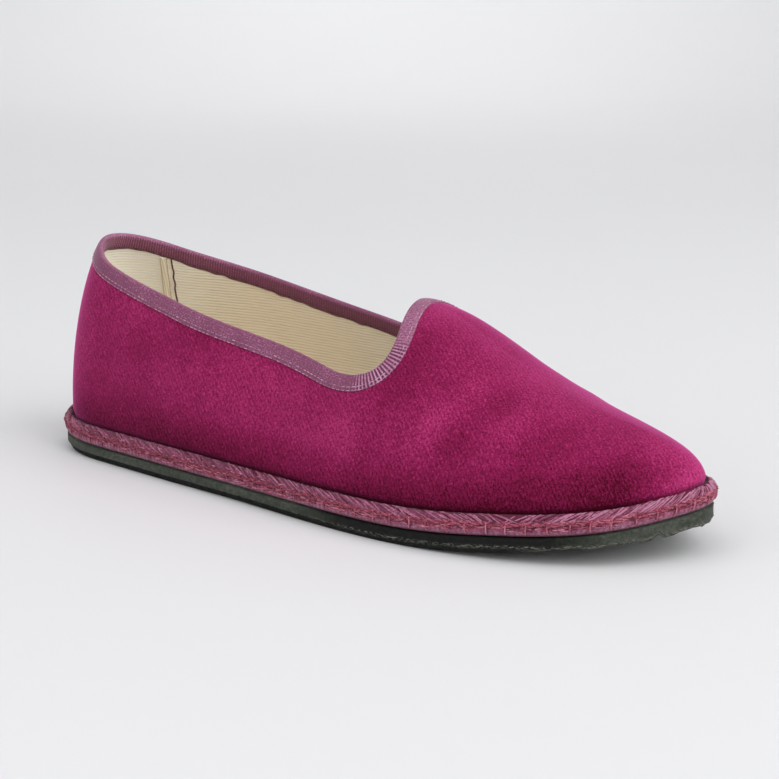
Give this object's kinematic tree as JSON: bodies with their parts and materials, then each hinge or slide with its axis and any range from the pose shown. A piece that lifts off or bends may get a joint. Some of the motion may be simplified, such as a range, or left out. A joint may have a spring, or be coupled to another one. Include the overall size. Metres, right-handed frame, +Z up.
{
  "type": "friulane slipper",
  "caption": "Right velvet slip-on slipper with a bound collar and pointed vamp peak, a stitched tape welt, a canvas insole and a thin rubber outsole.",
  "frame": {"origin": "on the floor, under the middle of the shoe's box", "axes": "+X towards the toe, +Y to the medial side, +Z up"},
  "size_m": [0.244, 0.078, 0.0758],
  "materials": {
    "rubber": "matte, rough cut edge",
    "welt_tape": "ribbed tape with coral stitches",
    "insole_canvas": "natural cotton twill",
    "velvet": "brushed cotton velvet pile, canvas lined",
    "ribbon": "grosgrain ribbon"
  },
  "bodies": {
    "root": {"outsole": "rubber", "welt": "welt_tape", "insole": "insole_canvas", "upper": "velvet", "collar_binding": "ribbon"}
  },
  "joints": []
}
